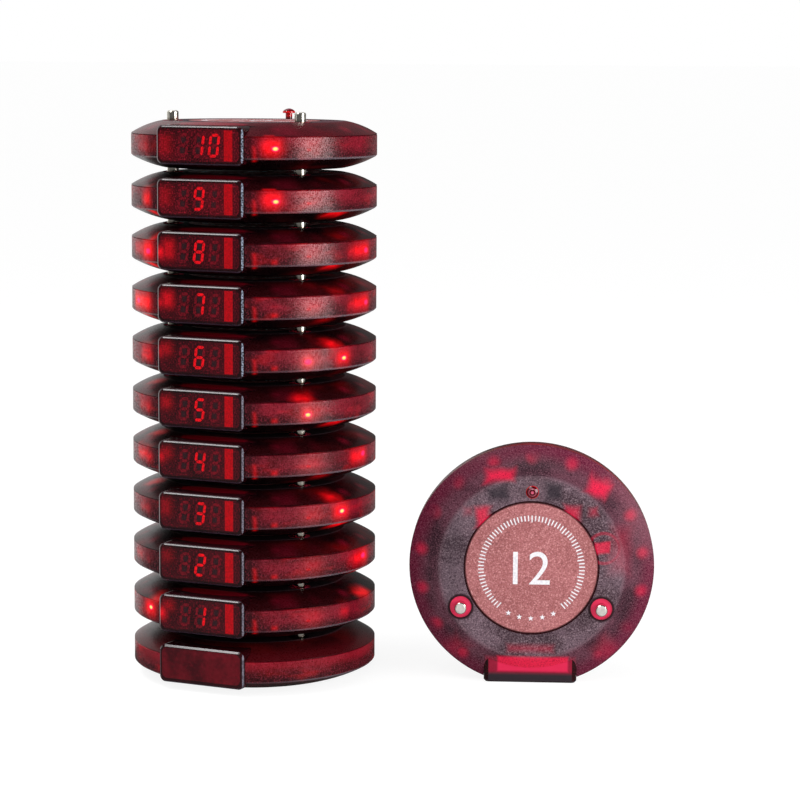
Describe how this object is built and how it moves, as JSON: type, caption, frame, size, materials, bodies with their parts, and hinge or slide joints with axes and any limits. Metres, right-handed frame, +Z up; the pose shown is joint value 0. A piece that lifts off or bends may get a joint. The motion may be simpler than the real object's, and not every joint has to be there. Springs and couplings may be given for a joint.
{
  "type": "guest pager set",
  "caption": "Stack of round coaster pagers with numeric displays and charging pins on a round charging base, with one loose pager standing beside it.",
  "frame": {"origin": "centre of the charging base's rubber pad, on the surface that the base stands on", "axes": "+Z up along the stack's axis; -Y is the way the displays face; +X is towards the loose pager"},
  "size_m": [0.209, 0.1027, 0.2323],
  "materials": {
    "shell_plastic": "frosted translucent plum",
    "window_plastic": "polished dark red",
    "label_sheet": "fine-grained printed sheet",
    "label_print": "white print",
    "contact_metal": "bright nickel plate",
    "button_plastic": "translucent red",
    "circuit_board": "solder mask",
    "display_module": "dark moulding",
    "display_light": "lit red segments",
    "display_unlit": "unlit segments",
    "rim_light": "lit red lights",
    "battery_wrap": "shrink wrap",
    "motor_steel": "satin",
    "black_plastic": "satin",
    "screw_steel": "zinc",
    "foot_rubber": "matt"
  },
  "bodies": {
    "charging_base": {"charging_base_top_cover": "shell_plastic", "charging_base_bottom_case": "shell_plastic", "charging_base_window": "window_plastic", "charging_base_charging_pins": "contact_metal", "charging_base_circuit_board": "circuit_board", "charging_base_power_inlet": "black_plastic", "charging_base_foot_pad": "foot_rubber", "charging_base_case_screws": "screw_steel"},
    "pager_01": {"pager_01_top_cover": "shell_plastic", "pager_01_bottom_case": "shell_plastic", "pager_01_inner_parts": "circuit_board"},
    "pager_02": {"pager_02_top_cover": "shell_plastic", "pager_02_bottom_case": "shell_plastic", "pager_02_inner_parts": "circuit_board"},
    "pager_03": {"pager_03_top_cover": "shell_plastic", "pager_03_bottom_case": "shell_plastic", "pager_03_inner_parts": "circuit_board"},
    "pager_04": {"pager_04_top_cover": "shell_plastic", "pager_04_bottom_case": "shell_plastic", "pager_04_inner_parts": "circuit_board"},
    "pager_05": {"pager_05_top_cover": "shell_plastic", "pager_05_bottom_case": "shell_plastic", "pager_05_inner_parts": "circuit_board"},
    "pager_06": {"pager_06_top_cover": "shell_plastic", "pager_06_bottom_case": "shell_plastic", "pager_06_inner_parts": "circuit_board"},
    "pager_07": {"pager_07_top_cover": "shell_plastic", "pager_07_bottom_case": "shell_plastic", "pager_07_inner_parts": "circuit_board"},
    "pager_08": {"pager_08_top_cover": "shell_plastic", "pager_08_bottom_case": "shell_plastic", "pager_08_inner_parts": "circuit_board"},
    "pager_09": {"pager_09_top_cover": "shell_plastic", "pager_09_bottom_case": "shell_plastic", "pager_09_inner_parts": "circuit_board"},
    "pager_10": {"pager_10_top_cover": "shell_plastic", "pager_10_bottom_case": "shell_plastic", "pager_10_inner_parts": "circuit_board"},
    "loose_pager": {"loose_pager_top_cover": "shell_plastic", "loose_pager_bottom_case": "shell_plastic", "loose_pager_display_window": "window_plastic", "loose_pager_label": "label_sheet", "loose_pager_charging_contacts": "contact_metal", "loose_pager_circuit_board": "circuit_board", "loose_pager_display_module": "display_module", "loose_pager_battery": "battery_wrap", "loose_pager_vibration_motor": "motor_steel", "loose_pager_buzzer": "black_plastic", "loose_pager_case_screws": "screw_steel"},
    "pager_01_button": {"pager_01_button": "button_plastic"},
    "pager_02_button": {"pager_02_button": "button_plastic"},
    "pager_03_button": {"pager_03_button": "button_plastic"},
    "pager_04_button": {"pager_04_button": "button_plastic"},
    "pager_05_button": {"pager_05_button": "button_plastic"},
    "pager_06_button": {"pager_06_button": "button_plastic"},
    "pager_07_button": {"pager_07_button": "button_plastic"},
    "pager_08_button": {"pager_08_button": "button_plastic"},
    "pager_09_button": {"pager_09_button": "button_plastic"},
    "pager_10_button": {"pager_10_button": "button_plastic"},
    "loose_pager_button": {"loose_pager_button": "button_plastic"}
  },
  "joints": [
    {"name": "pager_01_lift", "type": "slide", "parent": "charging_base", "child": "pager_01", "axis": [0, 0, 1], "range_m": [0, 0.012]},
    {"name": "pager_02_lift", "type": "slide", "parent": "pager_01", "child": "pager_02", "axis": [0, 0, 1], "range_m": [0, 0.012]},
    {"name": "pager_03_lift", "type": "slide", "parent": "pager_02", "child": "pager_03", "axis": [0, 0, 1], "range_m": [0, 0.012]},
    {"name": "pager_04_lift", "type": "slide", "parent": "pager_03", "child": "pager_04", "axis": [0, 0, 1], "range_m": [0, 0.012]},
    {"name": "pager_05_lift", "type": "slide", "parent": "pager_04", "child": "pager_05", "axis": [0, 0, 1], "range_m": [0, 0.012]},
    {"name": "pager_06_lift", "type": "slide", "parent": "pager_05", "child": "pager_06", "axis": [0, 0, 1], "range_m": [0, 0.012]},
    {"name": "pager_07_lift", "type": "slide", "parent": "pager_06", "child": "pager_07", "axis": [0, 0, 1], "range_m": [0, 0.012]},
    {"name": "pager_08_lift", "type": "slide", "parent": "pager_07", "child": "pager_08", "axis": [0, 0, 1], "range_m": [0, 0.012]},
    {"name": "pager_09_lift", "type": "slide", "parent": "pager_08", "child": "pager_09", "axis": [0, 0, 1], "range_m": [0, 0.012]},
    {"name": "pager_10_lift", "type": "slide", "parent": "pager_09", "child": "pager_10", "axis": [0, 0, 1], "range_m": [0, 0.012]},
    {"name": "loose_pager_lift", "type": "slide", "parent": "charging_base", "child": "loose_pager", "axis": [0, 0, 1], "range_m": [0, 0.06]},
    {"name": "pager_01_press", "type": "slide", "parent": "pager_01", "child": "pager_01_button", "axis": [0, 0, -1], "range_m": [0, 0.0008], "stiffness_N_per_m": 1500, "springref_m": -0.0003},
    {"name": "pager_02_press", "type": "slide", "parent": "pager_02", "child": "pager_02_button", "axis": [0, 0, -1], "range_m": [0, 0.0008], "stiffness_N_per_m": 1500, "springref_m": -0.0003},
    {"name": "pager_03_press", "type": "slide", "parent": "pager_03", "child": "pager_03_button", "axis": [0, 0, -1], "range_m": [0, 0.0008], "stiffness_N_per_m": 1500, "springref_m": -0.0003},
    {"name": "pager_04_press", "type": "slide", "parent": "pager_04", "child": "pager_04_button", "axis": [0, 0, -1], "range_m": [0, 0.0008], "stiffness_N_per_m": 1500, "springref_m": -0.0003},
    {"name": "pager_05_press", "type": "slide", "parent": "pager_05", "child": "pager_05_button", "axis": [0, 0, -1], "range_m": [0, 0.0008], "stiffness_N_per_m": 1500, "springref_m": -0.0003},
    {"name": "pager_06_press", "type": "slide", "parent": "pager_06", "child": "pager_06_button", "axis": [0, 0, -1], "range_m": [0, 0.0008], "stiffness_N_per_m": 1500, "springref_m": -0.0003},
    {"name": "pager_07_press", "type": "slide", "parent": "pager_07", "child": "pager_07_button", "axis": [0, 0, -1], "range_m": [0, 0.0008], "stiffness_N_per_m": 1500, "springref_m": -0.0003},
    {"name": "pager_08_press", "type": "slide", "parent": "pager_08", "child": "pager_08_button", "axis": [0, 0, -1], "range_m": [0, 0.0008], "stiffness_N_per_m": 1500, "springref_m": -0.0003},
    {"name": "pager_09_press", "type": "slide", "parent": "pager_09", "child": "pager_09_button", "axis": [0, 0, -1], "range_m": [0, 0.0008], "stiffness_N_per_m": 1500, "springref_m": -0.0003},
    {"name": "pager_10_press", "type": "slide", "parent": "pager_10", "child": "pager_10_button", "axis": [0, 0, -1], "range_m": [0, 0.0008], "stiffness_N_per_m": 1500, "springref_m": -0.0003},
    {"name": "loose_pager_press", "type": "slide", "parent": "loose_pager", "child": "loose_pager_button", "axis": [-0.3518, 0.9361, 0], "range_m": [0, 0.0008], "stiffness_N_per_m": 1500, "springref_m": -0.0003}
  ]
}
